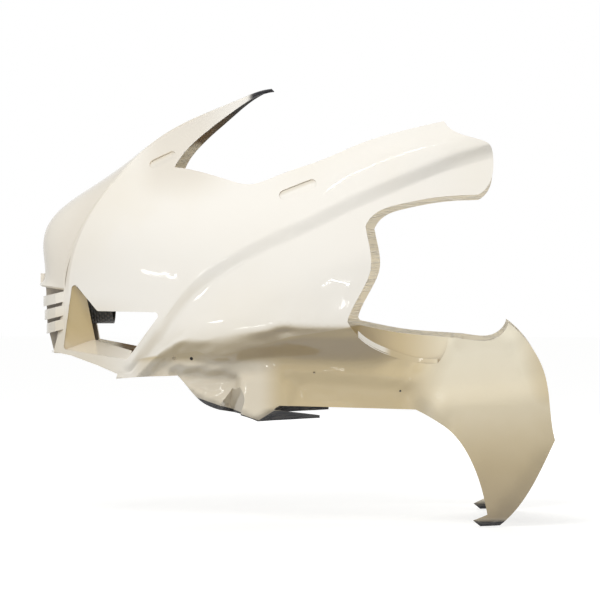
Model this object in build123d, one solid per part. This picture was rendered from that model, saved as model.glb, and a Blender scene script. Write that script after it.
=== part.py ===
"""Front fairing of a sport motorcycle: a thin laminated nose cowl with its two sides, arms and legs.

Frame: X runs rearwards, Y to the machine's right, Z up, with the origin at the centre of the rear
mouth of the ram-air sleeve. Every length is in millimetres. A side is drawn in side view (x, z), and
half_width(x, z) says how far out from the middle plane the skin stands there.
"""

from build123d import *
import math
import os

# Laminate and fits
WALL = 3.0
DUCT_WALL = 2.5
BOND_WALL = 2.5
BOND_SINK = 1.2

# Nose: the crease on each side of the middle, from the chin to the tip of the horn (x, z, half width)
CREASE = [
    (-84, -69, 42),
    (-68, 23, 48),
    (-54, 88, 52),
    (-29, 134, 54),
    (14, 189, 50),
    (71, 242, 38),
    (129, 274, 26),
    (186, 298, 14),
    (233, 313, 3),
]
# Middle line of the nose, from the upper lip of the intake to the tip of the horn (x, z), and how flat
# the panel is across
NOSE_MIDDLE = [(-110, 29), (-104, 92), (-80, 138), (-3, 191), (68, 243), (128, 276), (185, 300), (232, 315)]
NOSE_FLATNESS = [2, 2, 2, 2.5, 4, 5, 5, 5]
CREASE_BEAD = 1.2

# Sides: half width at the fullest station by height, how fast it is reached, and how far back
SIDE_HALF = [(-314, 178), (-133, 186), (-80, 204), (-24, 216), (57, 216), (108, 212), (161, 207), (203, 205),
             (228, 203), (260, 192), (312, 172)]
NOSE_FULLNESS = [(-69, 2.4), (11, 2.4), (110, 2.3), (195, 1.7), (253, 1.4), (313, 1.2)]
SIDE_REACH = 460

# Character line that runs from the arm down to the strut under the nose opening (x, z)
GROOVE = [(580, 226), (481, 197), (425, 174), (354, 143), (284, 109), (234, 87), (171, 53), (130, 22),
          (89, -28), (51, -76)]
GROOVE_DEPTH = 10.0
GROOVE_STEP = 18.0
GROOVE_FADE = 75.0
# Soft hollow that runs forward from the front corner of the screen opening (x, z)
HOLLOW = [(108, 204), (79, 186), (49, 163), (19, 134)]
HOLLOW_DEPTH = 5.0
HOLLOW_WIDTH = 20.0

# Lower edge of the side panel (x, z), and the undercut that hangs below it
PANEL_EDGE = [(-56, -206), (16, -137), (49, -99), (85, -66), (113, -52), (150, -44), (189, -35), (231, -30),
              (283, -26), (349, -25), (398, -17), (491, 30), (700, 34)]
LIP_DROP = [(95, 2), (140, 17), (180, 27), (230, 18), (282, 4), (305, 2)]
LIP_TUCK = 14.0
UNDERCUT_RUN = [(50, 18), (158, 20), (226, 32), (286, 58), (368, 66), (491, 70)]
SETBACK = [(42, 16), (102, 27), (149, 40), (217, 50), (297, 57), (388, 56), (491, 50)]
# Bead along the channel panel (x, z)
BEAD = [(96, -79), (129, -80), (181, -82), (239, -90), (299, -93), (367, -97), (428, -104)]
BEAD_HEIGHT = 4.5
BEAD_WIDTH = 11.0
BEAD_START, BEAD_RUN = 75, 30.0

# Scoop at the front of the channel panel: its upper lip (x, z), its set-back and its underside
SCOOP_LIP = [(75, -86), (123, -88), (159, -92), (196, -95)]
SCOOP_SETBACK = 15.0
SCOOP_SPAN = (86, 202)
SCOOP_LIP_RUN, SCOOP_END_RUN = 9.0, 20.0
SCOOP_UNDERSIDE = [(108, -112), (140, -132), (173, -142), (220, -157), (248, -146), (325, -149)]
UNDERSIDE_SPAN = (95, 370)
UNDERSIDE_END_RUN = 24.0
UNDERSIDE_SLOPE = 1.3
UNDERSIDE_REACH = 26.0
# Round-topped pocket in the scoop, open below: middle (x, z), length, width, turn and depth
POCKET_MIDDLE = (185, -147)
POCKET_LENGTH, POCKET_WIDTH = 70, 36
POCKET_TURN = 72
POCKET_DEPTH = 14.0
# Raised facet behind the pocket, bounded by this line (z, x)
FACET_LINE = [(-165, 270), (-140, 266), (-112, 257), (-90, 247)]
FACET_HEIGHT = 7.0
FACET_TOP = -92
FACET_RUN = 16.0

# Leg: the line (z, x) where it steps out of the channel, its run, and its half width by height
LEG_STEP = [(-312, 514), (-147, 446), (-104, 429), (-53, 463), (16, 491)]
LEG_STEP_RUN = 34.0
LEG_HALF = [(-320, 162), (-296, 180), (-250, 188), (-200, 192), (-142, 194), (-106, 181), (-76, 178),
            (-29, 182)]
# The ridge and the crease across the leg rise to the rear by this slope, about this station
LEG_SLOPE, LEG_MIDDLE_X = 0.09, 520
LEG_TURN_IN = 8.0
LEG_TURN_WIDTH = 36.0

# Side-view outline of one side, as runs of (x, z) that meet end to end
SCREEN_FRONT = [(233, 313), (202, 298), (170, 274), (126, 237), (103, 210), (97, 198)]
SCREEN_SIDE = [(97, 198), (132, 192), (177, 179), (209, 172), (252, 185), (311, 205), (368, 229), (424, 246),
               (486, 260)]
ARM_END = [(486, 260), (501, 245), (534, 234), (550, 226), (555, 208), (546, 166), (534, 156)]
ARM_UNDER = [(534, 156), (481, 153), (425, 143), (390, 130), (376, 112)]
PANEL_REAR = [(376, 112), (383, 77), (384, 53), (375, 28), (351, -22)]
OUTLET_LIP = [(351, -22), (366, -42), (388, -59), (410, -69), (437, -78), (477, -81)]
OUTLET_END = [(477, -81), (489, -60), (491, -46)]
LEG_TOP = [(491, -46), (523, -48), (556, -47), (569, -38), (576, -24)]
LEG_REAR = [(576, -24), (607, -55), (628, -97), (635, -145), (642, -189)]
LEG_HEEL = [(642, -189), (607, -259), (579, -297), (565, -310)]
LEG_TOE = [(565, -310), (537, -311), (527, -303), (547, -294)]
LEG_FRONT = [(547, -294), (537, -250), (523, -215), (495, -176), (466, -157), (446, -147)]
CHANNEL_FOOT = [(446, -147), (367, -145), (250, -142)]
TAIL_TAB = [(250, -142), (244, -148), (309, -156), (309, -160), (221, -165)]
SCOOP_FOOT = [(221, -165), (189, -155), (164, -150), (140, -140), (124, -124), (104, -101)]
STRUT_FOOT = [(104, -101), (49, -103), (15, -106), (17, -99)]
LEDGE_FOOT = [(17, -99), (-14, -87), (-55, -74), (-84, -69)]
# Opening in the side of the nose (x, z)
NOSE_OPENING = [(-54, 34), (-14, -9), (84, -10), (32, -78), (-68, -65)]
OPENING_CORNER = 5.0

# Inner wall of the opening and its ledge: the inner edge of each (x, half width, z)
WALL_INNER_TOP = (-36, 38, 10)
WALL_INNER_FOOT = (-24, 30, -51)
LEDGE_INNER_REAR = (36, 96, -66)

# Louvres across the intake: the front of each at the middle (x, z), its chord and its height, with the
# sweep back and up to each side, and the web in the middle plane that carries them (x, z)
LOUVRES = [(-104, 11), (-102, -9), (-99, -29)]
LOUVRE_SIDE_X = -80
LOUVRE_RISE = 5
LOUVRE_CHORD = 14
LOUVRE_HEIGHT = 15.0
WEB = [(-108, 45), (-108, 31), (-100, 24), (-98, -30), (-88, -70), (-67, -70), (-67, 45)]
WEB_WIDTH = 4.0
CHIN_Z = -71
CHIN_FRONT_X = -92
CHIN_SIDE_X = (-83, -62)

# Ram-air sleeve, whose rear mouth is the origin
SLEEVE_RADIUS = 26.0
SLEEVE_LENGTH = 38.0
DUCT_FRONT_X = -64
DUCT_FRONT_WIDTH, DUCT_FRONT_HEIGHT = 76, 87
DUCT_FRONT_Z = -23
DUCT_CORNER = 14

# Screen pads: flat recesses at the edge of the screen opening: middle (x, z), length, width and turn
PADS = {"front": ((78, 210), 42, 14, 25), "rear": ((280, 164), 56, 15, 21)}
PAD_DEPTH = 1.8

# Rim that stands up along the outlet lip
RIM_HEIGHT = 7.0
RIM_INSET, RIM_SINK = 0.4, 2.0

# Screw holes in the channel panel, and pilot holes (x, z)
STAY_HOLES = [(101, -76), (126, -76)]
STAY_HOLE_RADIUS = 2.5
PILOT_HOLES = [(357, -16), (302, -95), (424, -121)]
PILOT_RADIUS = 1.5

# Bonded panel behind the outlet: half width by x at its top and foot, and its top edge (x, z)
OUTLET_TOP_HALF = [(296, 138), (364, 141), (423, 148), (484, 164), (509, 170)]
OUTLET_FOOT_HALF = [(296, 156), (364, 158), (423, 160), (484, 168), (509, 172)]
OUTLET_FOOT_Z = -96
OUTLET_EDGE = [(311, -14), (355, -24), (395, -38), (443, -39), (498, -46)]

# Sampling of the skins: stations along x, and rows between guide lines that follow the features
FINE_X = (25, 275)
FINE_PITCH, COARSE_PITCH = 11.0, 20.0
ROWS = [5, 16, 5, 4, 9]
CHANNEL_BOTTOM = -176
STEEPEST = 0.6
SKIN_X = (-100, 660)
SKIN_Z = (-326, 324)
FAR = 260
SIDE_VIEW = Plane(origin=(0, 0, 0), x_dir=(1, 0, 0), z_dir=(0, -1, 0))


def smooth(points):
    """A smooth function through (position, value) pairs that keeps its end slopes outside them."""
    at, value = zip(*sorted(points))
    gaps = [b - a for a, b in zip(at, at[1:])]
    rises = [(b - a) / gap for a, b, gap in zip(value, value[1:], gaps)]
    slopes = [rises[0]]
    for left, right in zip(rises, rises[1:]):
        slopes.append(2 * left * right / (left + right) if left * right > 0 else 0)
    slopes.append(rises[-1])

    def result(t):
        if t <= at[0]:
            return value[0] + slopes[0] * (t - at[0])
        if t >= at[-1]:
            return value[-1] + slopes[-1] * (t - at[-1])
        i = max(k for k, a in enumerate(at) if a <= t)
        gap = gaps[i]
        u = (t - at[i]) / gap
        start = value[i] * (1 + 2 * u) + gap * slopes[i] * u
        end = value[i + 1] * (3 - 2 * u) - gap * slopes[i + 1] * (1 - u)
        return start * (1 - u) ** 2 + end * u * u

    return result


def ease(t):
    """0 below 0, 1 above 1 and a smooth rise between."""
    t = min(max(t, 0.0), 1.0)
    return t * t * (3 - 2 * t)


def window(t, low, high, run):
    """0 outside low and high, 1 between, with a smooth rise and fall of the given run inside them."""
    return ease((t - low) / run) * ease((high - t) / run)


def held(curve, low, high):
    """The curve, kept at its end values outside low and high."""
    return lambda t: curve(min(max(t, low), high))


def stations(low, high):
    """Positions from low to high along x, closer together where the shape is busy."""
    first, last = FINE_X
    spans = [(low, first, COARSE_PITCH), (first, last, FINE_PITCH), (last, high, COARSE_PITCH)]
    found = []
    for start, end, pitch in spans:
        count = round((end - start) / pitch)
        found += [start + (end - start) * k / count for k in range(count)]
    return found + [high]


def rows(x):
    """Heights at which a section is sampled: evenly between lines that follow the edge and the groove."""
    edge = max(panel_edge(x), STRUT_FOOT[1][1] - 10)
    line = max(groove_z(x), edge + 2 * GROOVE_STEP)
    guides = [SKIN_Z[0], CHANNEL_BOTTOM, edge, line - GROOVE_STEP, line + GROOVE_STEP, SKIN_Z[1]]
    found = []
    for low, high, count in zip(guides, guides[1:], ROWS):
        found += [low + (high - low) * k / count for k in range(count)]
    return found + [guides[-1]]


def nearest(points, x, z):
    """Signed distance from a side-view line, positive above it, and how far along it that is, 0 to 1."""
    lengths = [math.dist(a, b) for a, b in zip(points, points[1:])]
    best = (1e9, 0.0)
    done = 0.0
    for (ax, az), (bx, bz), length in zip(points, points[1:], lengths):
        ux, uz = (bx - ax) / length, (bz - az) / length
        along = min(max((x - ax) * ux + (z - az) * uz, 0.0), length)
        px, pz = ax + along * ux, az + along * uz
        gap = math.hypot(x - px, z - pz)
        if gap < abs(best[0]):
            side = 1 if (z - pz) * abs(ux) - (x - px) * uz * (1 if ux > 0 else -1) > 0 else -1
            best = (side * gap, (done + along) / sum(lengths))
        done += length
    return best


def densify(points, pitch=12.0):
    """Points of a smooth line through the given ones, about one pitch apart."""
    line = Spline(*[(x, z) for x, z in points])
    count = max(2, round(line.length / pitch))
    return [(p.X, p.Y) for p in (line @ (k / count) for k in range(count + 1))]


crease_x = smooth([(z, x) for x, z, half in CREASE])
crease_half = smooth([(z, half) for x, z, half in CREASE])
side_half = held(smooth(SIDE_HALF), SIDE_HALF[0][0], SIDE_HALF[-1][0])
fullness = held(smooth(NOSE_FULLNESS), NOSE_FULLNESS[0][0], NOSE_FULLNESS[-1][0])
panel_edge = smooth(PANEL_EDGE)
lip_drop = held(smooth(LIP_DROP), LIP_DROP[0][0], LIP_DROP[-1][0])
undercut_run = held(smooth(UNDERCUT_RUN), UNDERCUT_RUN[0][0], UNDERCUT_RUN[-1][0])
setback = held(smooth(SETBACK), SETBACK[0][0], SETBACK[-1][0])
bead_z = held(smooth(BEAD), BEAD[0][0], BEAD[-1][0])
scoop_lip = held(smooth(SCOOP_LIP), SCOOP_LIP[0][0], SCOOP_LIP[-1][0])
scoop_underside = held(smooth(SCOOP_UNDERSIDE), SCOOP_UNDERSIDE[0][0], SCOOP_UNDERSIDE[-1][0])
facet_x = held(smooth(FACET_LINE), FACET_LINE[0][0], FACET_LINE[-1][0])
leg_step = held(smooth(LEG_STEP), LEG_STEP[0][0], LEG_STEP[-1][0])
leg_half = held(smooth(LEG_HALF), LEG_HALF[0][0], LEG_HALF[-1][0])
leg_rear = smooth([(z, x) for x, z in LEG_HEEL[::-1][:-1] + LEG_REAR[::-1]])
groove_line = densify(GROOVE)
hollow_line = densify(HOLLOW)
groove_z = held(smooth(GROOVE), GROOVE[-1][0], GROOVE[0][0])


def side_swell(x, z):
    """The plain side: it leaves the crease steeply and flattens towards its fullest station."""
    start = crease_half(z)
    back = min(max((x - crease_x(z)) / SIDE_REACH, -0.25), 1.0)
    return start + (side_half(z) - start) * (1 - (1 - back) ** fullness(z))


def character_line(x, z):
    """Depth of the step under the character line, which swells out again below it."""
    above, along = nearest(groove_line, x, z)
    step = ease(0.5 - above / GROOVE_STEP) * (1 - ease((-above - GROOVE_STEP / 2) / GROOVE_FADE))
    return GROOVE_DEPTH * step * (1 - 0.6 * along)


def corner_hollow(x, z):
    """Depth of the soft hollow ahead of the screen opening's corner."""
    above, along = nearest(hollow_line, x, z)
    return HOLLOW_DEPTH * math.exp(-((above / HOLLOW_WIDTH) ** 2)) * (1 - along)


def undercut(x, below):
    """How far the skin has turned in at a height below the panel's lower edge."""
    drop, depth = lip_drop(x), setback(x)
    tuck = LIP_TUCK * min(1.0, drop / 12)
    roll = tuck * min(below / drop, 1.0) ** 2
    return roll + (depth - tuck) * ease((below - drop) / undercut_run(x))


def scoop(x, z):
    """What the scoop at the front of the channel takes off the skin, and its raised facet adds."""
    taken = SCOOP_SETBACK * ease((scoop_lip(x) - z) / SCOOP_LIP_RUN) * window(x, *SCOOP_SPAN, SCOOP_END_RUN)
    facet = window(x, SCOOP_SPAN[1] - FACET_RUN, facet_x(z) + FACET_RUN, FACET_RUN)
    facet *= ease((FACET_TOP - z) / FACET_RUN)
    hang = max(scoop_underside(x) - z, 0) * UNDERSIDE_SLOPE / UNDERSIDE_REACH
    curl = UNDERSIDE_REACH * math.tanh(hang) * window(x, *UNDERSIDE_SPAN, UNDERSIDE_END_RUN)
    return taken + curl - FACET_HEIGHT * facet


def half_width(x, z):
    """How far out the outer skin stands at a point of the side view."""
    edge = panel_edge(x)
    upper = max(z, edge)
    half = side_swell(x, upper) - character_line(x, upper) - corner_hollow(x, upper)
    if z >= edge:
        return half
    below = edge - z
    channel = half - undercut(x, below) - scoop(x, z)
    bead = math.exp(-(((z - bead_z(x)) / BEAD_WIDTH) ** 2))
    channel += BEAD_HEIGHT * bead * ease((x - BEAD_START) / BEAD_RUN)
    turn_in = LEG_TURN_IN * ease(1 - (leg_rear(z) - x) / LEG_TURN_WIDTH) ** 2
    leg = leg_half(z - LEG_SLOPE * (x - LEG_MIDDLE_X)) - turn_in
    share = ease((x - leg_step(z)) / LEG_STEP_RUN)
    return channel * (1 - share) + leg * share


def skin_normal(x, z, step=1.0):
    """Outward unit normal of the left skin."""
    slope_x = (half_width(x + step, z) - half_width(x - step, z)) / (2 * step)
    slope_z = (half_width(x, z + step) - half_width(x, z - step)) / (2 * step)
    return Vector(-slope_x, -1, -slope_z).normalized()


def skin_point(x, z):
    """The point of the left outer skin at a point of the side view."""
    return Vector(x, -half_width(x, z), z)


def skin_face(inset):
    """The left skin over the whole side view, moved in by the inset measured square to it."""
    sections = []
    for x in stations(*SKIN_X):
        heights = rows(x)
        points = []
        for z in heights:
            lateral = inset / max(abs(skin_normal(x, z).Y), STEEPEST)
            points.append((x, -half_width(x, z) + lateral, z))
        shares = [k / (len(heights) - 1) for k in range(len(heights))]
        sections.append(Wire([Edge.make_spline(points, parameters=shares)]))
    return Shell.make_loft(sections).face()


def largest(shape):
    """The biggest solid of a result."""
    return max(shape.solids(), key=lambda solid: solid.volume)


def side_outline():
    """The side view's outline, with the nose opening, as a prism through the left half of the space."""
    runs = [
        [(x, z) for x, z, half in CREASE],
        SCREEN_FRONT,
        SCREEN_SIDE,
        ARM_END,
        ARM_UNDER,
        PANEL_REAR,
        OUTLET_LIP,
        OUTLET_END,
        LEG_TOP,
        LEG_REAR,
        LEG_HEEL,
        LEG_FRONT,
        CHANNEL_FOOT,
        SCOOP_FOOT,
    ]
    edges = [Spline(*run) for run in runs]
    edges += [Polyline(*LEG_TOE), Polyline(*TAIL_TAB), Polyline(*STRUT_FOOT), Polyline(*LEDGE_FOOT)]
    opening = fillet(make_face(Polyline(*NOSE_OPENING, close=True)).vertices(), OPENING_CORNER)
    return Solid.extrude((SIDE_VIEW * (make_face(edges) - opening)).face(), (0, -FAR, 0))


def within_skin(inset):
    """All the space inboard of the left skin moved in by the inset."""
    return Solid.extrude(skin_face(inset), (0, 2 * FAR, 0))


def on_skin(x, z, turn):
    """A plane on the left skin that faces out, with its x turned up from the level by an angle."""
    step = 2.0
    run, rise = step * math.cos(math.radians(turn)), step * math.sin(math.radians(turn))
    along = skin_point(x + run, z + rise) - skin_point(x - run, z - rise)
    return Plane(origin=skin_point(x, z), x_dir=along, z_dir=skin_normal(x, z))


def plate(first, second, thickness):
    """A ruled plate between two lines of points, given thickness along a vector."""
    edges = [Spline(*line) if len(line) > 2 else Line(*line) for line in (first, second)]
    return Solid.extrude(Face.make_surface_from_curves(edges[0].edge(), edges[1].edge()), thickness)


def left(point):
    """A point given as (x, half width, z), on the left side."""
    x, half, z = point
    return Vector(x, -half, z)


def opening_walls():
    """The wall and the ledge that run inboard from the front and the foot of the nose opening."""
    top, foot, rear = NOSE_OPENING[0], NOSE_OPENING[-1], NOSE_OPENING[-2]
    inner_top, inner_foot, inner_rear = (
        left(point) for point in (WALL_INNER_TOP, WALL_INNER_FOOT, LEDGE_INNER_REAR)
    )
    skin_top, skin_foot = (skin_point(*corner) + Vector(-WALL / 2, BOND_SINK, -1) for corner in (top, foot))
    lower = Vector(0, 0, -WALL / 2)
    wall = plate([skin_foot + lower, skin_top], [inner_foot + lower, inner_top], (-1, BOND_WALL, 0))
    outer, inner = [], []
    for share in (0, 0.25, 0.5, 0.75, 1):
        x = foot[0] - WALL + (rear[0] - foot[0] + 2 * WALL) * share
        z = foot[1] + (rear[1] - foot[1]) * share
        outer.append(skin_point(x, z) + Vector(0, BOND_SINK, -1))
        inner.append((inner_foot - Vector(WALL, 0, 0)) * (1 - share) + inner_rear * share)
    return [wall, plate(outer, inner, (0, 0, -WALL))]


def outlet_rim():
    """The rim that stands up along the outlet lip."""
    foot = [skin_point(x, z) + Vector(0, RIM_INSET, -RIM_SINK) for x, z in OUTLET_LIP[1:]]
    return plate(foot, [p + Vector(0, 0, RIM_HEIGHT + RIM_SINK) for p in foot], (0, WALL, 0))


def left_side():
    """The left side: what lies between its skins inside the outline, with its walls and recesses."""
    inside = largest(side_outline().intersect(within_skin(0)))
    side = largest(inside - within_skin(WALL))
    side = side.fuse(*opening_walls(), outlet_rim())
    for middle, length, width, turn in PADS.values():
        floor = on_skin(*middle, turn).offset(-PAD_DEPTH)
        side = side.cut(extrude(floor * SlotOverall(length, width), 20).solid())
    floor = on_skin(*POCKET_MIDDLE, POCKET_TURN).offset(-POCKET_DEPTH)
    around = SlotOverall(POCKET_LENGTH + 2 * WALL, POCKET_WIDTH + 2 * WALL)
    casing = extrude(floor.offset(-WALL) * around, 2 * POCKET_DEPTH)
    side = side.fuse(largest(inside.intersect(casing.solid())))
    side = side.cut(extrude(floor * SlotOverall(POCKET_LENGTH, POCKET_WIDTH), 60).solid())
    for holes, radius in ((STAY_HOLES, STAY_HOLE_RADIUS), (PILOT_HOLES, PILOT_RADIUS)):
        for x, z in holes:
            drill = Plane(origin=(x, 0, z), z_dir=(0, -1, 0))
            side = side.cut(Solid.make_cylinder(radius, FAR, drill))
    return largest(side)


def nose_middle():
    """The panel between the two creases, from the intake's upper lip to the tip of the horn.

    Its edges stand a little proud of the sides, as a bead along each crease.
    """
    across = [-1, -0.9, -0.7, -0.4, 0, 0.4, 0.7, 0.9, 1]
    sections = []
    for (x, z, half), (middle_x, middle_z), flatness in zip(CREASE[1:], NOSE_MIDDLE, NOSE_FLATNESS):
        edge = Vector(x - CREASE_BEAD / 2, 0, z + CREASE_BEAD / 2)
        rise = Vector(middle_x, 0, middle_z) - edge
        points = []
        for w in across:
            points.append(edge + rise * (1 - abs(w) ** flatness) + Vector(0, w * (half + CREASE_BEAD), 0))
        sections.append(Wire([Edge.make_spline(points, parameters=[(w + 1) / 2 for w in across])]))
    return Solid.extrude(Shell.make_loft(sections).face(), (WALL, 0, -WALL))


def chin():
    """The floor of the intake, between the two sides."""
    sides = [(x, half_width(x, CHIN_Z + WALL) - BOND_SINK) for x in CHIN_SIDE_X] + [WALL_INNER_FOOT[:2]]
    points = [(CHIN_FRONT_X, 0)] + sides + [(x, -half) for x, half in sides[::-1]]
    face = make_face(Polyline(*points, close=True)).face()
    return Solid.extrude(face.moved(Location((0, 0, CHIN_Z))), (0, 0, WALL))


def louvre(nose_x, z):
    """One swept-back louvre across the intake."""
    side_z = z + LOUVRE_RISE
    half = half_width(LOUVRE_SIDE_X + LOUVRE_CHORD, side_z) - 1
    front = [Vector(LOUVRE_SIDE_X, -half, side_z), Vector(nose_x, 0, z), Vector(LOUVRE_SIDE_X, half, side_z)]
    rear = [p + Vector(LOUVRE_CHORD, 0, LOUVRE_CHORD / 4) for p in front]
    return plate(front, rear, (0, 0, -LOUVRE_HEIGHT))


def louvre_web():
    """The upright web in the middle plane behind the louvres' noses."""
    outline = (SIDE_VIEW.offset(-WEB_WIDTH / 2) * make_face(Polyline(*WEB, close=True))).face()
    return Solid.extrude(outline, (0, -WEB_WIDTH, 0))


def fairing_shell():
    """The whole moulding."""
    one_side = left_side()
    other_side = mirror(one_side, about=Plane.XZ).solid()
    pieces = [other_side, nose_middle(), chin(), louvre_web()] + [louvre(x, z) for x, z in LOUVRES]
    return largest(one_side.fuse(*pieces))


def intake_duct():
    """The ram-air duct: a mouth behind the louvres that runs into the round sleeve."""
    def run(grow):
        mouth = Plane(origin=(DUCT_FRONT_X, 0, DUCT_FRONT_Z), x_dir=(0, 1, 0), z_dir=(1, 0, 0))
        throat = Plane(origin=(-SLEEVE_LENGTH, 0, 0), x_dir=(0, 1, 0), z_dir=(1, 0, 0))
        width, height = DUCT_FRONT_WIDTH + 2 * grow, DUCT_FRONT_HEIGHT + 2 * grow
        ring = throat * Circle(SLEEVE_RADIUS + grow)
        body = loft([mouth * RectangleRounded(width, height, DUCT_CORNER + grow), ring])
        return body + extrude(ring, SLEEVE_LENGTH)

    return run(DUCT_WALL) - run(0)


def outlet_panel():
    """The bonded panel behind the left outlet."""
    top_half, foot_half = smooth(OUTLET_TOP_HALF), smooth(OUTLET_FOOT_HALF)
    stations = [x for x, half in OUTLET_TOP_HALF]
    top_z = held(smooth(OUTLET_EDGE), OUTLET_EDGE[0][0], OUTLET_EDGE[-1][0])
    foot = [Vector(x, -foot_half(x), OUTLET_FOOT_Z) for x in stations]
    top = [Vector(x, -top_half(x), top_z(x)) for x in stations]
    return plate(foot, top, (0, BOND_WALL, 0))


def main():
    shell = fairing_shell()
    duct = largest(intake_duct() - shell)
    left_panel = largest(outlet_panel() - shell)
    nodes = {
        "fairing_shell": shell,
        "intake_duct": duct,
        "left_inner_panel": left_panel,
        "right_inner_panel": mirror(left_panel, about=Plane.XZ).solid(),
    }
    os.makedirs("parts", exist_ok=True)
    for name, solid in nodes.items():
        solid.label = name
        export_step(solid, f"parts/{name}.step")
        print(name, round(solid.volume), solid.is_valid, len(solid.faces()))


if __name__ == "__main__":
    main()
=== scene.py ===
# %% [markdown]
# # Motorcycle front fairing
# A raw moulding straight from the workshop: cream gelcoat outside, bare resin inside, and a black woven
# duct behind the intake. The packed model already has the right shapes, so they stay as they are. This
# lesson gives each face its finish, sets the camera where the photographer stood, and lights the part
# with soft lamps, thin tubes and a white room.

# %% Load the frame
import math

import bpy
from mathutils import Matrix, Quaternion, Vector


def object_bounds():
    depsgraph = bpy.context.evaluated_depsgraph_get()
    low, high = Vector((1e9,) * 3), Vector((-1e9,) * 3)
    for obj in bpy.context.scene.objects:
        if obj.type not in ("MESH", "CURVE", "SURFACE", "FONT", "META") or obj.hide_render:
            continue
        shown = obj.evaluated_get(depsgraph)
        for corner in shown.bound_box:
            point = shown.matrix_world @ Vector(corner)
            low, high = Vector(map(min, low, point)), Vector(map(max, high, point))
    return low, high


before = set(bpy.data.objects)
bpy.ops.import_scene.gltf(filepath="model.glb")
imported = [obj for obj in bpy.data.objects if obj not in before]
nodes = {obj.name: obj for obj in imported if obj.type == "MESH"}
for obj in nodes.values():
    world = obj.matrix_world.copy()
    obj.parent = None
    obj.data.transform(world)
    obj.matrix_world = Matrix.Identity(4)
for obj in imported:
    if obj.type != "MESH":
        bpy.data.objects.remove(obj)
cad_low, cad_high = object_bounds()
print("nodes:", sorted(nodes))
print("size in mm:", [round(1000 * side) for side in cad_high - cad_low])

# %% [markdown]
# ## Camera
# The far side of the moulding hides almost exactly behind the near one, so the photographer used a long
# lens from far off, nearly square to the left side and level with it. A camera is placed by the
# direction that it looks back along, which two angles give.

# %% The photographer's camera
AZIMUTH, ELEVATION = math.radians(3.03), math.radians(0.64)
CAMERA_PLACE = Vector((0.53694, -4.97820, 0.06172))
LENS_MM, SENSOR_MM = 204.36, 36


def add_camera():
    data = bpy.data.cameras.new("camera")
    data.lens = LENS_MM
    data.sensor_width = SENSOR_MM
    camera = bpy.data.objects.new("camera", data)
    bpy.context.scene.collection.objects.link(camera)
    level = math.cos(ELEVATION)
    back = Vector((math.sin(AZIMUTH) * level, -math.cos(AZIMUTH) * level, math.sin(ELEVATION)))
    camera.location = CAMERA_PLACE
    camera.rotation_mode = "QUATERNION"
    camera.rotation_quaternion = (-back).to_track_quat("-Z", "Y")
    bpy.context.scene.camera = camera
    return camera


camera = add_camera()
print("camera at", tuple(round(value, 3) for value in camera.location))

# %% [markdown]
# ## Small helpers for shader nodes
# A procedural material is a small program drawn as nodes. These helpers make a node, join sockets and do
# arithmetic on them, so that each finish below reads as a short recipe. A share is a number from 0 to 1
# that says how much of a finish a point gets. Most shares come from ramps on the place of the point.


# %% Node helpers
class Recipe:
    """A new material and the few moves that its recipe needs."""

    def __init__(self, name):
        self.material = bpy.data.materials.new(name)
        self.material.use_nodes = True
        self.tree = self.material.node_tree
        self.tree.nodes.clear()

    def node(self, kind, inputs=None, **settings):
        made = self.tree.nodes.new(kind)
        for key, value in settings.items():
            setattr(made, key, value)
        for key, value in (inputs or {}).items():
            if isinstance(value, bpy.types.NodeSocket):
                self.tree.links.new(value, made.inputs[key])
            else:
                made.inputs[key].default_value = value
        return made

    def math(self, operation, *values):
        return self.node("ShaderNodeMath", dict(enumerate(values)), operation=operation).outputs[0]

    def ramp(self, value, low, high):
        """0 on the low limit's side, 1 past the high limit, and smooth between. Low may exceed high."""
        inputs = {"Value": value, "From Min": low, "From Max": high}
        return self.node("ShaderNodeMapRange", inputs, interpolation_type="SMOOTHSTEP").outputs[0]

    def within(self, *limits):
        """The product of ramps, each given as a value, its low limit and its high limit."""
        share = 1.0
        for value, low, high in limits:
            share = self.math("MULTIPLY", share, self.ramp(value, low, high))
        return share

    def largest(self, first, *others):
        for other in others:
            first = self.math("MAXIMUM", first, other)
        return first

    def mix(self, share, first, second):
        inputs = {"Fac": share, "Color1": first, "Color2": second}
        return self.node("ShaderNodeMixRGB", inputs).outputs[0]

    def point(self):
        """The place of the point in the part's own frame, in metres."""
        return self.node("ShaderNodeTexCoord").outputs["Object"]

    def place(self):
        """The x, y and z of that place."""
        return list(self.node("ShaderNodeSeparateXYZ", {0: self.point()}).outputs)

    def facing(self):
        """The x, y and z of the way that the face looks, in the part's own frame."""
        look = self.node("ShaderNodeTexCoord").outputs["Normal"]
        return list(self.node("ShaderNodeSeparateXYZ", {0: look}).outputs)

    def noise(self, point, scale, detail):
        inputs = {"Vector": point, "Scale": scale, "Detail": detail}
        return self.node("ShaderNodeTexNoise", inputs).outputs["Fac"]

    def stretched(self, point, stretch, turn):
        inputs = {"Vector": point, "Scale": stretch, "Rotation": turn}
        return self.node("ShaderNodeMapping", inputs).outputs[0]

    def bump(self, height, depth):
        inputs = {"Height": height, "Distance": depth, "Strength": 1.0}
        return self.node("ShaderNodeBump", inputs).outputs[0]

    def finish(self, shader):
        self.node("ShaderNodeOutputMaterial", {"Surface": shader})
        return self.material


print("helpers:", [name for name in vars(Recipe) if not name.startswith("_")])

# %% [markdown]
# ## Gelcoat or bare laminate
# One moulding has two faces. The face that lay against the mould is glossy cream gelcoat, and the other
# is bare resin. Two materials on two sets of faces would do, but then the mesh would have to be sorted.
# Here the shader finds out by itself. A face that looks away from the middle plane is outside, and one
# that looks to it is inside. Near the middle plane that test says nothing, so there a face that looks
# back or down is the inside, apart from the louvres, which have gelcoat all round.

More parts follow.
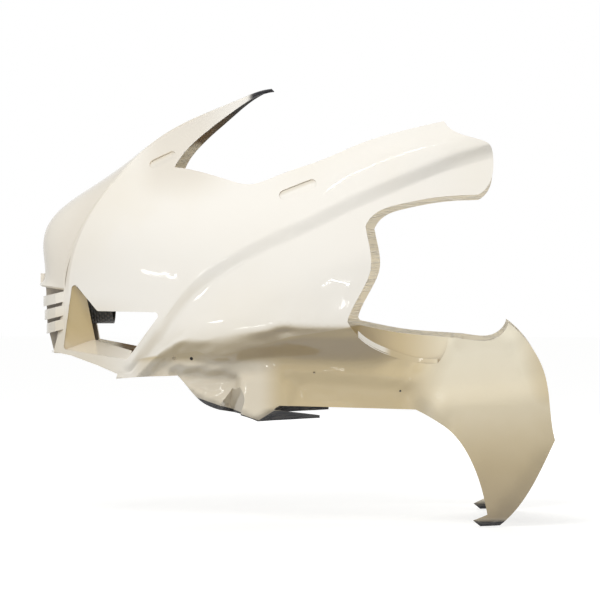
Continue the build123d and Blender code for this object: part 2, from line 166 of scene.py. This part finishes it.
# %% Outside or inside
MIDDLE_HALF_WIDTH = 0.056
LOUVRE_REAR_X = -0.066
LOUVRE_TOP_Z = 0.034
BORDER = 0.002
BACK_WEIGHT = 0.7
LOOKS_IN, LOOKS_OUT_NO_MORE, LOOKS_BACK = (-0.25, -0.35), (0.3, 0.2), (0.1, 0.2)


def inside_share(recipe):
    """1 on the bare inside of the moulding and 0 on its gelcoat."""
    x, y, z = recipe.place()
    look_x, look_y, look_z = recipe.facing()
    away = recipe.math("MULTIPLY", recipe.math("SIGN", y), look_y)
    backward = recipe.math("SUBTRACT", recipe.math("MULTIPLY", look_x, BACK_WEIGHT), look_z)
    middle = recipe.ramp(recipe.math("ABSOLUTE", y), MIDDLE_HALF_WIDTH, MIDDLE_HALF_WIDTH - BORDER)
    behind_louvres = recipe.ramp(x, LOUVRE_REAR_X, LOUVRE_REAR_X + BORDER)
    above_louvres = recipe.ramp(z, LOUVRE_TOP_Z, LOUVRE_TOP_Z + BORDER)
    off_louvres = recipe.largest(behind_louvres, above_louvres)
    turned_in = recipe.within((backward, *LOOKS_BACK), (away, *LOOKS_OUT_NO_MORE))
    near_middle = recipe.math("MULTIPLY", middle, recipe.math("MULTIPLY", turned_in, off_louvres))
    beside_middle = recipe.math("SUBTRACT", 1.0, middle)
    off_middle = recipe.math("MULTIPLY", beside_middle, recipe.ramp(away, *LOOKS_IN))
    return recipe.math("ADD", near_middle, off_middle)


print("middle strip:", round(2000 * MIDDLE_HALF_WIDTH), "mm wide")

# %% [markdown]
# ## Tips painted black as shade
# The tip of the horn, the toe of each leg, the tail tabs and the low rim of the scoops are painted black
# on both faces, as painted shade. Each is cut off by a straight soft border in side view.

# %% Tips, tabs and rims painted black as shade
TOE_TOP_Z = (-0.297, -0.306)
HORN_TIP_X, HORN_TIP_Z, HORN_END_X = (0.196, 0.206), (0.26, 0.27), (0.30, 0.28)
TAB_TOP_Z, TAB_END_X = (-0.1475, -0.1495), (0.33, 0.32)
TAB_LEAN, TAB_FRONT = -1.6, (0.481, 0.485)
RIM_FALL, RIM_TOP, RIM_FRONT_X = 0.34, (-0.0865, -0.0880), (0.110, 0.125)


def black_shade_tips(recipe):
    """1 on the tip of the horn, the toes, the tail tabs and the rims of the scoops, all painted black as
    shade.
    """
    x, _, z = recipe.place()
    toe = recipe.ramp(z, *TOE_TOP_Z)
    tip = recipe.within((x, *HORN_TIP_X), (z, *HORN_TIP_Z), (x, *HORN_END_X))
    tab = recipe.within((z, *TAB_TOP_Z), (recipe.math("MULTIPLY_ADD", z, TAB_LEAN, x), *TAB_FRONT))
    rim = recipe.within((recipe.math("MULTIPLY_ADD", x, RIM_FALL, z), *RIM_TOP), (x, *RIM_FRONT_X))
    low_edge = recipe.math("MULTIPLY", recipe.largest(tab, rim), recipe.ramp(x, *TAB_END_X))
    return recipe.largest(toe, tip, low_edge)


print("toes black under", TOE_TOP_Z[0], "m")

# %% [markdown]
# ## Painted warm shade
# The channel, the walls of the openings, the low end of the legs and faces that look down get a tan
# painted shade, while the panel stays nearly white. Painting that by hand would need an unwrapped mesh.
# Here the place of a point and the way that its face looks decide. The channel starts at the crease
# under the rolled lip, which is four straight lines in side view: each is a slope and a height, and the
# smaller or larger of two lines joins them.

# %% Painted warm shade in the channel
CREASE_FRONT_Z = -0.056
CREASE_FALL, CREASE_RISE, CREASE_REAR = (-0.36, -0.0121), (0.275, -0.1138), (0.155, -0.0815)
CREASE_BLUR = (0.0, -0.005)
CHANNEL_FRONT_X, CHANNEL_REAR_X = (0.03, 0.06), (0.52, 0.42)
SCOOP_TOP_Z, SCOOP_REAR_X = (-0.072, -0.085), (0.26, 0.22)
SCOOP_SHADE_LOSS = -0.55


def scoop_share(recipe):
    """1 on the scoop, which is paler than the rest of the channel."""
    x, _, z = recipe.place()
    return recipe.within((z, *SCOOP_TOP_Z), (x, *SCOOP_REAR_X))


def crease_height(recipe, x):
    """Height of the crease at x: level, then falling, rising, and rising less."""
    lines = (CREASE_FALL, CREASE_RISE, CREASE_REAR)
    fall, rise, rear = [recipe.math("MULTIPLY_ADD", x, slope, start) for slope, start in lines]
    front = recipe.math("MINIMUM", fall, CREASE_FRONT_Z)
    return recipe.math("MINIMUM", recipe.math("MAXIMUM", front, rise), rear)


def channel_shade_share(recipe):
    x, _, z = recipe.place()
    over_crease = recipe.math("SUBTRACT", z, crease_height(recipe, x))
    # Painted warm shade below the crease, less on the scoop.
    channel = recipe.within((over_crease, *CREASE_BLUR), (x, *CHANNEL_FRONT_X), (x, *CHANNEL_REAR_X))
    kept = recipe.math("MULTIPLY_ADD", scoop_share(recipe), SCOOP_SHADE_LOSS, 1.0)
    return recipe.math("MULTIPLY", channel, kept)


print("channel from", CHANNEL_FRONT_X[0], "to", CHANNEL_REAR_X[0], "m")

# %% [markdown]
# ## Painted shade on the legs and in the openings
# The legs get painted shade downwards, and a little noise bends that border so that it is no straight
# line. The heel gets painted shade too. The walls that look back into the nose openings get painted
# shade, and the chin less so. The rim of the air outlet, where faces look back or up, is kept out of
# this painted shade, so it stays pale as a lit rim.

# %% Painted shade elsewhere
LEG_Z, LEG_FRONT_X = (0.0, -0.21), (0.36, 0.44)
LEG_CLOUD_SCALE, LEG_CLOUD_DETAIL, LEG_CLOUD_REACH = 9.0, 3.0, 0.06
HEEL_X, HEEL_Z, HEEL_SHADE = (0.575, 0.635), (-0.18, -0.12), 0.8
WALL_LOOK, WALL_X, WALL_Z = (0.3, 0.5), (0.0, -0.02), (-0.14, -0.03)
CHIN_Z, CHIN_X, CHIN_SHADE = (0.02, -0.03), (0.06, -0.03), 0.4
UNDER_LOOK, UNDER_Z, UNDER_SCOOP_LOSS = (0.1, -0.9), (0.05, 0.0), -0.8
LIT_RIM_LOOK, LIT_RIM_FRONT_X, LIT_RIM_REAR_X = (0.35, 0.6), (0.30, 0.34), (0.50, 0.46)


def leg_shade_share(recipe):
    x, _, z = recipe.place()
    cloud = recipe.noise(recipe.point(), LEG_CLOUD_SCALE, LEG_CLOUD_DETAIL)
    clouded_z = recipe.math("MULTIPLY_ADD", cloud, LEG_CLOUD_REACH, z)
    # Painted shade down the legs, and on the heel.
    leg = recipe.within((clouded_z, *LEG_Z), (x, *LEG_FRONT_X))
    heel = recipe.within((x, *HEEL_X), (z, *HEEL_Z))
    return recipe.largest(leg, recipe.math("MULTIPLY", heel, HEEL_SHADE))


def warm_shade_share(recipe):
    """Painted warm shade: 1 in the channel, low on the legs, on the walls of the openings and on faces
    that look down.
    """
    x, _, z = recipe.place()
    look_x, _, look_z = recipe.facing()
    # Painted warm shade on the walls of the openings, the chin and faces that look down.
    wall = recipe.within((look_x, *WALL_LOOK), (x, *WALL_X), (z, *WALL_Z))
    chin = recipe.math("MULTIPLY", recipe.within((z, *CHIN_Z), (x, *CHIN_X)), CHIN_SHADE)
    under = recipe.within((look_z, *UNDER_LOOK), (z, *UNDER_Z))
    off_scoop = recipe.math("MULTIPLY_ADD", scoop_share(recipe), UNDER_SCOOP_LOSS, 1.0)
    under = recipe.math("MULTIPLY", under, off_scoop)
    tan = recipe.largest(channel_shade_share(recipe), leg_shade_share(recipe), wall, chin, under)
    # The outlet's rim, where faces look back or up, is kept out of the painted shade, so it stays pale
    # as a lit rim.
    rim_look = recipe.math("MAXIMUM", look_x, look_z)
    lit_rim = recipe.within((rim_look, *LIT_RIM_LOOK), (x, *LIT_RIM_FRONT_X), (x, *LIT_RIM_REAR_X))
    return recipe.math("SUBTRACT", tan, recipe.math("MULTIPLY", tan, lit_rim))


print("legs fully tan at", LEG_Z[1], "m")

# %% [markdown]
# ## Darker nose and horn
# Ahead of its crease the nose is a little darker. In side view the crease is a parabola. It is darkest
# right at the crease, which draws it as a fine line. The horn is darker too, and that is painted shade.

# %% Where the nose and horn are darker
NOSE_CREASE = (-0.0591, -0.0886, 2.51)
CREASE_LINE, CREASE_FADE, NOSE_LOW_Z = (0.001, -0.002), (-0.003, -0.045), (0.0, 0.05)
AHEAD_LOSS = -0.45
HORN_Z, HORN_REAR_X, HORN_FRONT_X = (0.14, 0.20), (0.20, 0.12), (0.03, 0.08)


def darker_nose_and_horn_share(recipe):
    """1 on the nose at its crease, less ahead of it, and 1 up the horn."""
    x, _, z = recipe.place()
    start, slope, bend = NOSE_CREASE
    crease = recipe.math("MULTIPLY_ADD", recipe.math("MULTIPLY_ADD", z, bend, slope), z, start)
    past = recipe.math("SUBTRACT", x, crease)
    fade = recipe.ramp(past, *CREASE_FADE)
    ahead = recipe.math("MULTIPLY_ADD", fade, AHEAD_LOSS, recipe.ramp(past, *CREASE_LINE))
    nose = recipe.math("MULTIPLY", ahead, recipe.ramp(z, *NOSE_LOW_Z))
    # The darker horn is painted shade.
    horn = recipe.within((z, *HORN_Z), (x, *HORN_REAR_X), (x, *HORN_FRONT_X))
    return recipe.largest(nose, horn)


print("nose crease meets z = 0 at x =", NOSE_CREASE[0], "m")

# %% [markdown]
# ## Rounded edges of the screen pads
# The screen will rest on four shallow oval pads, two on each side. The model has each as a sharp recess,
# but a mould has rounded edges and the gelcoat rounds them more. A bevel would change the mesh, so the
# rounding is a bump: the distance of a point from the oval's middle line gives a soft slope at its edge.
# The upper half of each pad is under its wall, so it gets a little painted shade in tan.

# %% Soft edge of the pads
# Each pad by the x and z of its middle, its length, its width and its turn in degrees.
SCREEN_PADS = ((0.078, 0.210, 0.042, 0.014, 25), (0.280, 0.164, 0.056, 0.015, 21))
PAD_EDGE_DEPTH, PAD_SLOPE = 0.002, (-0.007, 0.0015)
PAD_INSIDE, PAD_UPPER, PAD_SHADE = (0.0, -0.001), (-0.001, 0.004), 0.3


def pad_edges(recipe):
    """Height in metres that rounds the edge of each pad, and the painted shade on its upper half."""
    x, _, z = recipe.place()
    height = 0.0
    hollow = 0.0
    for middle_x, middle_z, length, width, turn in SCREEN_PADS:
        sine, cosine = math.sin(math.radians(turn)), math.cos(math.radians(turn))
        off_x = recipe.math("SUBTRACT", x, middle_x)
        off_z = recipe.math("SUBTRACT", z, middle_z)
        along = recipe.math("MULTIPLY_ADD", off_z, sine, recipe.math("MULTIPLY", off_x, cosine))
        across = recipe.math("MULTIPLY_ADD", off_z, cosine, recipe.math("MULTIPLY", off_x, -sine))
        over = recipe.math("SUBTRACT", recipe.math("ABSOLUTE", along), (length - width) / 2)
        over = recipe.math("MAXIMUM", over, 0.0)
        apart = recipe.math("MULTIPLY_ADD", over, over, recipe.math("MULTIPLY", across, across))
        edge = recipe.math("SUBTRACT", recipe.math("SQRT", apart), width / 2)
        height = recipe.math("MULTIPLY_ADD", recipe.ramp(edge, *PAD_SLOPE), PAD_EDGE_DEPTH, height)
        # Painted shade on the upper half of each pad.
        hollow = recipe.math("ADD", hollow, recipe.within((edge, *PAD_INSIDE), (across, *PAD_UPPER)))
    return height, recipe.math("MULTIPLY", hollow, PAD_SHADE)


print("pads on each side:", len(SCREEN_PADS))

# %% [markdown]
# ## Painted shade
# Ambient occlusion places painted shade where little light gets in. The toes are darker towards the
# ground, and the face over the channel that looks down gets painted shade.

# %% Where painted shade lies
CREVICE_REACH, CREVICE_LIGHT, CREVICE_SHADE = 0.08, (0.75, 0.2), 0.75
LESS_SHADED_SCOOP_X, LESS_SHADED_SCOOP_Z, SCOOP_LESS_SHADE = (0.23, 0.19), (-0.062, -0.074), -0.55
DARK_TOE_Z, TOE_DARKENING = (-0.17, -0.30), 0.45
SOFFIT_LOOK, SOFFIT_Z, SOFFIT_X, SOFFIT_SHADE = (-0.4, -0.9), (0.0, -0.02), (0.10, 0.26), 0.65


def painted_shade_and_dark_toes(recipe):
    x, _, z = recipe.place()
    _, _, look_z = recipe.facing()
    # Ambient occlusion places painted shade in crevices.
    occlusion = recipe.node("ShaderNodeAmbientOcclusion", {"Distance": CREVICE_REACH}, samples=8)
    crevice = recipe.ramp(occlusion.outputs["AO"], *CREVICE_LIGHT)
    scoop = recipe.within((x, *LESS_SHADED_SCOOP_X), (z, *LESS_SHADED_SCOOP_Z))
    most = recipe.math("MULTIPLY_ADD", scoop, SCOOP_LESS_SHADE, CREVICE_SHADE)
    crevice_shade = recipe.math("MULTIPLY", crevice, most)
    # The toes are darker towards the ground.
    toe = recipe.math("MULTIPLY", recipe.ramp(z, *DARK_TOE_Z), TOE_DARKENING)
    # Painted shade on the face over the channel that looks down.
    soffit = recipe.within((look_z, *SOFFIT_LOOK), (z, *SOFFIT_Z), (x, *SOFFIT_X))
    return recipe.largest(toe, crevice_shade, recipe.math("MULTIPLY", soffit, SOFFIT_SHADE))


print("crevices reach", round(1000 * CREVICE_REACH), "mm")

# %% [markdown]
# ## Gelcoat
# Now the shares above mix the colours, palest first. A hand-laid part is never quite flat, so a long low
# wave bends its reflections, and a fine peel dulls them a little.

# %% Gelcoat finish
GELCOAT_PALE = (0.890, 0.855, 0.785, 1)
GELCOAT_WARM = (0.870, 0.820, 0.720, 1)
GELCOAT_DARKER = (0.770, 0.715, 0.620, 1)
GELCOAT_STRAW = (0.880, 0.810, 0.640, 1)
GELCOAT_WARM_SHADE = (0.590, 0.475, 0.275, 1)
GELCOAT_DARKEST = (0.360, 0.280, 0.190, 1)
STRAW_X, STRAW_Z = (0.39, 0.45), (0.04, 0.01)
# Scale and detail of each noise, and what it reaches.
CLOUD, CLOUD_LEVEL = (4.0, 3.0), (0.35, 0.65)
HAZE, LEAST_ROUGH, HAZE_ROUGH = (14.0, 4.0), 0.02, 0.06
PEEL, PEEL_DEPTH = (90.0, 1.0), 0.0000075
WAVE, WAVE_DEPTH = (9.0, 1.0), 0.00015


def gelcoat_shader(recipe):
    x, _, z = recipe.place()
    point = recipe.point()
    cloud = recipe.ramp(recipe.noise(point, *CLOUD), *CLOUD_LEVEL)
    colour = recipe.mix(cloud, GELCOAT_WARM, GELCOAT_PALE)
    # A darker nose, and painted shade on the horn.
    colour = recipe.mix(darker_nose_and_horn_share(recipe), colour, GELCOAT_DARKER)
    colour = recipe.mix(recipe.within((x, *STRAW_X), (z, *STRAW_Z)), colour, GELCOAT_STRAW)
    pad_height, pad_shade = pad_edges(recipe)
    # Painted warm shade, with the painted shade on the upper half of the pads.
    colour = recipe.mix(recipe.largest(warm_shade_share(recipe), pad_shade), colour, GELCOAT_WARM_SHADE)
    # Painted shade in crevices and under the lip, and darker toes.
    colour = recipe.mix(painted_shade_and_dark_toes(recipe), colour, GELCOAT_DARKEST)
    rough = recipe.math("MULTIPLY_ADD", recipe.noise(point, *HAZE), HAZE_ROUGH, LEAST_ROUGH)
    peel = recipe.math("MULTIPLY", recipe.noise(point, *PEEL), PEEL_DEPTH)
    relief = recipe.math("MULTIPLY_ADD", recipe.noise(point, *WAVE), WAVE_DEPTH, peel)
    relief = recipe.math("ADD", relief, pad_height)
    inputs = {"Base Color": colour, "Roughness": rough, "Normal": recipe.bump(relief, 1.0)}
    gloss = {"IOR": 1.5, "Coat Weight": 0.35}
    return recipe.node("ShaderNodeBsdfPrincipled", {**inputs, **gloss}).outputs[0]


print("gelcoat wave:", 1000 * WAVE_DEPTH, "mm")

# %% [markdown]
# ## Bare laminate
# On the inside the chopped glass strands still show. Noise that is drawn out along one axis looks like
# strands, and three turned copies of it make a mat. The resin is pale on the sides and goes brown up in
# the horn, where it ran thick, and brown at the chin. The horn's tip goes black, which is painted shade.
# Black dabs of painted shade lie on the inside around the screw holes, so the holes look dark from
# outside.

# %% Bare laminate finish
RESIN_PALE = (0.860, 0.780, 0.620, 1)
RESIN_BROWN = (0.170, 0.105, 0.045, 1)
SHADE_BLACK = (0.010, 0.010, 0.014, 1)
STRAND = (0.890, 0.850, 0.760, 1)
STRAND_TURNS = ((0.3, 0.2, 0.1), (1.1, 0.7, 0.9), (0.5, 2.0, 2.4))
STRAND_STRETCH, STRAND_LEVEL, STRAND_DEPTH = (30, 380, 380), (0.56, 0.66), 0.0006
STRAND_SHOWN, STRAND_DARK_LOSS = 0.5, -0.42
POOL, POOL_REACH = (22.0, 3.0), 0.03
BROWN_HORN_Z, BROWN_HORN_X, BLACK_HORN_X = (0.225, 0.245), (0.27, 0.24), (0.13, 0.19)
BROWN_CHIN_Z, BROWN_CHIN_REAR_X, BROWN_CHIN_FRONT_X = (-0.035, -0.045), (0.06, 0.05), (-0.01, 0.01)
# Each dab by the x and z of its middle and its radius.
SHADING_DABS = ((0.1050, -0.078, 0.023), (0.293, -0.097, 0.0115), (0.414, -0.124, 0.0115))


def shading_dabs(recipe):
    """1 on the black dabs of painted shade."""
    x, _, z = recipe.place()
    dabs = 0.0
    for middle_x, middle_z, radius in SHADING_DABS:
        off_x = recipe.math("SUBTRACT", x, middle_x)
        off_z = recipe.math("SUBTRACT", z, middle_z)
        apart = recipe.math("MULTIPLY_ADD", off_x, off_x, recipe.math("MULTIPLY", off_z, off_z))
        dabs = recipe.largest(dabs, recipe.ramp(apart, radius ** 2, 0.7 * radius ** 2))
    return dabs


def strand_mat(recipe):
    """1 on the strands that lie on top."""
    mat = 0.0
    for turn in STRAND_TURNS:
        strands = recipe.noise(recipe.stretched(recipe.point(), STRAND_STRETCH, turn), 1.0, 2.0)
        mat = recipe.largest(mat, recipe.ramp(strands, *STRAND_LEVEL))
    return mat


def bare_laminate_shader(recipe):
    x, _, z = recipe.place()
    mat = strand_mat(recipe)
    pool = recipe.math("MULTIPLY_ADD", recipe.noise(recipe.point(), *POOL), 2 * POOL_REACH, -POOL_REACH)
    horn = recipe.within((recipe.math("ADD", z, pool), *BROWN_HORN_Z), (x, *BROWN_HORN_X))
    tip = recipe.math("MULTIPLY", horn, recipe.ramp(recipe.math("ADD", x, pool), *BLACK_HORN_X))
    chin = recipe.within((z, *BROWN_CHIN_Z), (x, *BROWN_CHIN_REAR_X), (x, *BROWN_CHIN_FRONT_X))
    brown = recipe.largest(horn, chin)
    # Black here is painted shade: the horn's tip, the black tips and tabs, and the dabs around the screw
    # holes.
    black = recipe.largest(tip, black_shade_tips(recipe), shading_dabs(recipe))
    resin = recipe.mix(black, recipe.mix(brown, RESIN_PALE, RESIN_BROWN), SHADE_BLACK)
    shown = recipe.math("MULTIPLY_ADD", recipe.largest(brown, black), STRAND_DARK_LOSS, STRAND_SHOWN)
    colour = recipe.mix(recipe.math("MULTIPLY", mat, shown), resin, STRAND)
    inputs = {"Base Color": colour, "Roughness": 0.5, "Normal": recipe.bump(mat, STRAND_DEPTH)}
    return recipe.node("ShaderNodeBsdfPrincipled", inputs).outputs[0]


print("shading dabs on each side:", len(SHADING_DABS))

# %% [markdown]
# ## Both faces in one material
# A mix of the two shaders shows the laminate where a face is inside or where a tip is painted black as
# shade, and the gelcoat everywhere else.


# %% Moulding material
def moulding_material():
    recipe = Recipe("gelcoat_moulding")
    inside_and_shaded_tips = recipe.largest(inside_share(recipe), black_shade_tips(recipe))
    faces = {0: inside_and_shaded_tips, 1: gelcoat_shader(recipe), 2: bare_laminate_shader(recipe)}
    return recipe.finish(recipe.node("ShaderNodeMixShader", faces).outputs[0])


moulding = moulding_material()
print("moulding nodes:", len(moulding.node_tree.nodes))

# %% [markdown]
# ## Woven duct
# The duct was laid up in one ply of black cloth, so its weave shows. A plain weave is a chequer of
# threads that run along and around the duct. Sine waves along its length and around its girth make the
# threads, and the chequer says which of the two lies on top.

# %% Woven cloth finish
THREAD = 0.004
THREAD_DEPTH = 0.0005
WARP_HEIGHT = 0.7
CHEQUER_BLUR = (-0.2, 0.2)
WEAR, WEAR_LEVEL = (60.0, 3.0), (0.2, 1.0)
DUCT_RADIUS = 0.028
CLOTH_BLACK = (0.010, 0.009, 0.008, 1)
CLOTH_BROWN = (0.075, 0.058, 0.042, 1)


def woven_duct_material():
    recipe = Recipe("woven_duct")
    x, y, z = recipe.place()
    around = recipe.math("MULTIPLY", recipe.math("ARCTAN2", z, y), DUCT_RADIUS)
    turns = math.pi / THREAD
    along_wave = recipe.math("SINE", recipe.math("MULTIPLY", x, turns))
    around_wave = recipe.math("SINE", recipe.math("MULTIPLY", around, turns))
    chequer = recipe.ramp(recipe.math("MULTIPLY", along_wave, around_wave), *CHEQUER_BLUR)
    warp = recipe.math("MULTIPLY", WARP_HEIGHT, recipe.math("ABSOLUTE", along_wave))
    weft = recipe.math("MULTIPLY", chequer, recipe.math("ABSOLUTE", around_wave))
    height = recipe.math("ADD", weft, warp)
    worn = recipe.math("MULTIPLY", height, recipe.noise(recipe.point(), *WEAR))
    colour = recipe.mix(recipe.ramp(worn, *WEAR_LEVEL), CLOTH_BLACK, CLOTH_BROWN)
    inputs = {"Base Color": colour, "Roughness": 0.42, "Normal": recipe.bump(height, THREAD_DEPTH)}
    return recipe.finish(recipe.node("ShaderNodeBsdfPrincipled", inputs).outputs[0])


woven_duct = woven_duct_material()
finishes = {"intake_duct": woven_duct}
for name, node in nodes.items():
    node.data.materials.clear()
    node.data.materials.append(finishes.get(name, moulding))
print("finishes:", {name: node.data.materials[0].name for name, node in nodes.items()})

# %% [markdown]
# ## Floor
# The moulding stands in a plain white room. The floor gives it light from below and takes its shadow. To
# the camera, and in reflections, it is lifted to white, which would need too much light otherwise. The
# light path tells which rays those are, so the light on the part stays at a plain level.

# %% Floor
FLOOR_DROP = 0.001
FLOOR_HALF = 12.0
FLOOR_PAINT = (0.45, 0.45, 0.44, 1)
FLOOR_LIFT, FLOOR_FAR_LIFT, FLOOR_FAR = 0.64, 0.86, (0.6, 2.5)
SEEN_RAYS = ("Is Camera Ray", "Is Glossy Ray", "Is Transmission Ray")


def add_floor(height):
    turns = ((-1, -1), (1, -1), (1, 1), (-1, 1))
    corners = [(turn_x * FLOOR_HALF, turn_y * FLOOR_HALF, height) for turn_x, turn_y in turns]
    mesh = bpy.data.meshes.new("floor")
    mesh.from_pydata(corners, [], [(0, 1, 2, 3)])
    floor = bpy.data.objects.new("floor", mesh)
    bpy.context.scene.collection.objects.link(floor)
    recipe = Recipe("pale_floor")
    ray = recipe.node("ShaderNodeLightPath").outputs
    seen = recipe.largest(*[ray[kind] for kind in SEEN_RAYS])
    paint = recipe.node("ShaderNodeBsdfDiffuse", {"Color": FLOOR_PAINT}).outputs[0]
    away = recipe.node("ShaderNodeVectorMath", {0: recipe.point()}, operation="LENGTH").outputs["Value"]
    far = recipe.ramp(away, *FLOOR_FAR)
    lift = recipe.math("MULTIPLY_ADD", far, FLOOR_FAR_LIFT - FLOOR_LIFT, FLOOR_LIFT)
    lift = recipe.math("MULTIPLY", seen, lift)
    glow = recipe.node("ShaderNodeEmission", {"Strength": lift}).outputs[0]
    both = recipe.node("ShaderNodeAddShader", {0: paint, 1: glow}).outputs[0]
    mesh.materials.append(recipe.finish(both))
    return floor


floor = add_floor(cad_low.z - FLOOR_DROP)
print(floor.name, "at", round(cad_low.z - FLOOR_DROP, 4))

# %% [markdown]
# ## White room
# The world is the room. A ray from the camera or a reflection sees it white, and every other ray brings
# its soft light to the part.

# %% Room light
ROOM_LIGHT = 0.28


def add_room():
    scene = bpy.context.scene
    scene.view_settings.view_transform = "Standard"
    room = bpy.data.worlds.new("white_room")
    room.use_nodes = True
    tree = room.node_tree
    ray = tree.nodes.new("ShaderNodeLightPath").outputs
    level = tree.nodes.new("ShaderNodeMapRange")
    level.inputs["To Min"].default_value = ROOM_LIGHT
    level.inputs["To Max"].default_value = 1.0
    seen = ray[SEEN_RAYS[0]]
    for kind in SEEN_RAYS[1:]:
        either = tree.nodes.new("ShaderNodeMath")
        either.operation = "MAXIMUM"
        tree.links.new(seen, either.inputs[0])
        tree.links.new(ray[kind], either.inputs[1])
        seen = either.outputs[0]
    tree.links.new(seen, level.inputs["Value"])
    tree.links.new(level.outputs[0], tree.nodes["Background"].inputs["Strength"])
    tree.nodes["Background"].inputs["Color"].default_value = (1, 1, 1, 1)
    scene.world = room
    return room


room = add_room()
print("room light:", ROOM_LIGHT, "in", room.name)

# %% [markdown]
# ## Lamps
# Five broad soft lamps give the level of light, one for each side and one to fill the shadows. A broad
# lamp mirrored in gelcoat would be a white patch, so reflections don't see them. Thin tubes draw the
# short bright streaks along the ridges, as the lamps of a workshop do. Each tube hangs where the skin
# mirrors it to the camera, and its roll tilts the streak.

# %% Soft lamps and tubes
MIDDLE = (cad_low + cad_high) / 2
SOFT_SIZE = (1.2, 1.2)
# Each soft lamp by its place and power.
SOFT_LAMPS = {
    "soft_lamp": ((-0.25, -1.75, 1.75), 33.5),
    "fill_lamp": ((0.1, -2.4, 0.4), 10),
    "back_lamp": ((0.5, 2.4, 1.5), 40),
    "rear_lamp": ((2.9, -0.2, 1.0), 16),
    "front_lamp": ((-2.7, -0.1, 0.9), 7),
}
# Each tube by its place, size, power and roll in degrees.
TUBES = {
    "tube_top": ((-0.18, -1.65, 1.45), (0.55, 0.008), 0.45, 0),
    "tube_front": ((-1.88, -1.27, 0.37), (0.5, 0.012), 0.4, -8),
    "tube_corner": ((-1.41, -1.72, 0.275), (0.25, 0.02), 0.35, 0),
    "tube_lip": ((-0.87, -2.11, -0.18), (0.5, 0.02), 0.5, 0),
    "tube_low": ((0.0, -2.39, 0.1), (0.26, 0.008), 0.2, -17),
}


def add_lamp(name, place, size, power, roll=0):
    data = bpy.data.lights.new(name, "AREA")
    data.shape = "RECTANGLE"
    data.size, data.size_y = size
    data.energy = power
    lamp = bpy.data.objects.new(name, data)
    bpy.context.scene.collection.objects.link(lamp)
    lamp.location = place
    lamp.rotation_mode = "QUATERNION"
    aim = (MIDDLE - Vector(place)).to_track_quat("-Z", "Y")
    lamp.rotation_quaternion = aim @ Quaternion((0, 0, 1), math.radians(roll))
    return lamp


for name, (place, power) in SOFT_LAMPS.items():
    add_lamp(name, place, SOFT_SIZE, power).visible_glossy = False
for name, (place, size, power, roll) in TUBES.items():
    add_lamp(name, place, size, power, roll)
print("lamps:", [*SOFT_LAMPS, *TUBES])

# %% [markdown]
# ## Shape and size
# The finishes change no shape, so the model keeps the size printed at the start.
